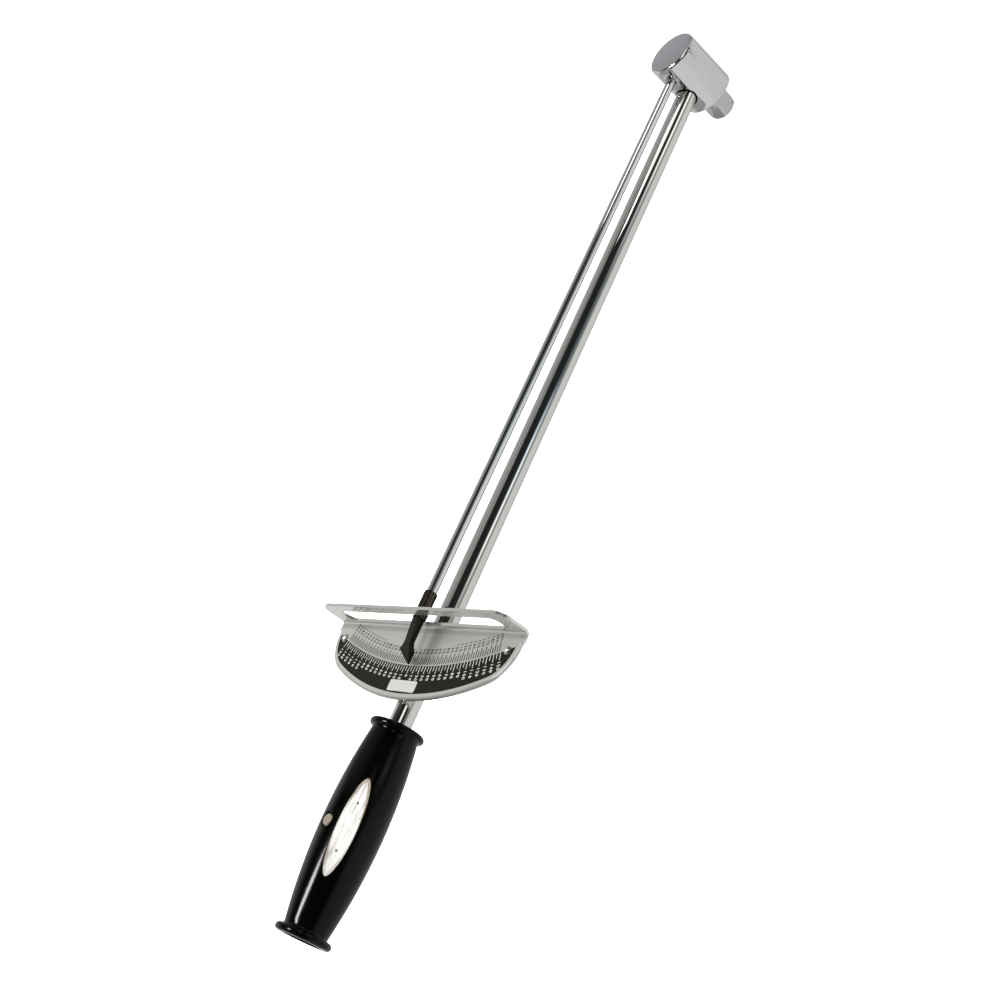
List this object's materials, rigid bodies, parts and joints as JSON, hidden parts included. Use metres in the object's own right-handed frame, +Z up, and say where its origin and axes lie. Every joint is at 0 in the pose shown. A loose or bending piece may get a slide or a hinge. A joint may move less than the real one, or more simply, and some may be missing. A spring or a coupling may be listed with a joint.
{
  "type": "beam torque wrench",
  "caption": "Deflecting-beam torque wrench with a half-inch square drive, straight pointer rod, curved scale plate with a windowed guard and a pivoting barrel handle.",
  "frame": {"origin": "centre of the square drive's end face", "axes": "+X along the beam from the handle towards the head, +Y to the left when looking along +X, +Z up the drive's axis from the drive's end to the head's top"},
  "size_m": [0.5503, 0.1554, 0.057],
  "materials": {
    "chrome_head": "satin chrome plate",
    "chrome_beam": "mirror chrome plate",
    "spring_steel": "oiled spring wire",
    "black_plastic": "matt moulded",
    "satin_steel": "satin plated sheet",
    "zinc_steel": "zinc plated",
    "gloss_black": "gloss black",
    "nickel": "nickel plated",
    "bright_plate": "bright bare plate"
  },
  "bodies": {
    "frame": {"beam": "chrome_beam", "scale_plate": "satin_steel", "stop_stud_left": "chrome_head", "stop_stud_right": "chrome_head", "plate_saddle": "zinc_steel", "saddle_cap": "zinc_steel", "saddle_screw_left": "zinc_steel", "saddle_screw_right": "zinc_steel"},
    "head": {"drive_head": "chrome_head", "detent_spring": "spring_steel", "pointer_rod": "chrome_beam", "pointer": "black_plastic"},
    "ball": {"detent_ball": "chrome_head"},
    "grip": {"handle_grip": "gloss_black", "pivot_pin": "nickel", "nameplate": "bright_plate", "nameplate_rivet_front": "nickel", "nameplate_rivet_rear": "nickel"}
  },
  "joints": [
    {"name": "beam_flex", "type": "hinge", "parent": "frame", "child": "head", "pos_m": [-0.1976, 0, 0.0298], "axis": [0, 0, 1], "range_deg": [-18.9, 18.9], "stiffness_Nm_per_rad": 615, "deforming": ["beam"]},
    {"name": "detent_press", "type": "slide", "parent": "head", "child": "ball", "axis": [1, 0, 0], "range_m": [-0.0009, 0], "stiffness_N_per_m": 1500, "deforming": ["detent_spring"]},
    {"name": "handle_pivot", "type": "hinge", "parent": "frame", "child": "grip", "pos_m": [-0.4819, 0, 0.0298], "axis": [0, 0, 1], "range_deg": [-2.5, 2.5]}
  ]
}
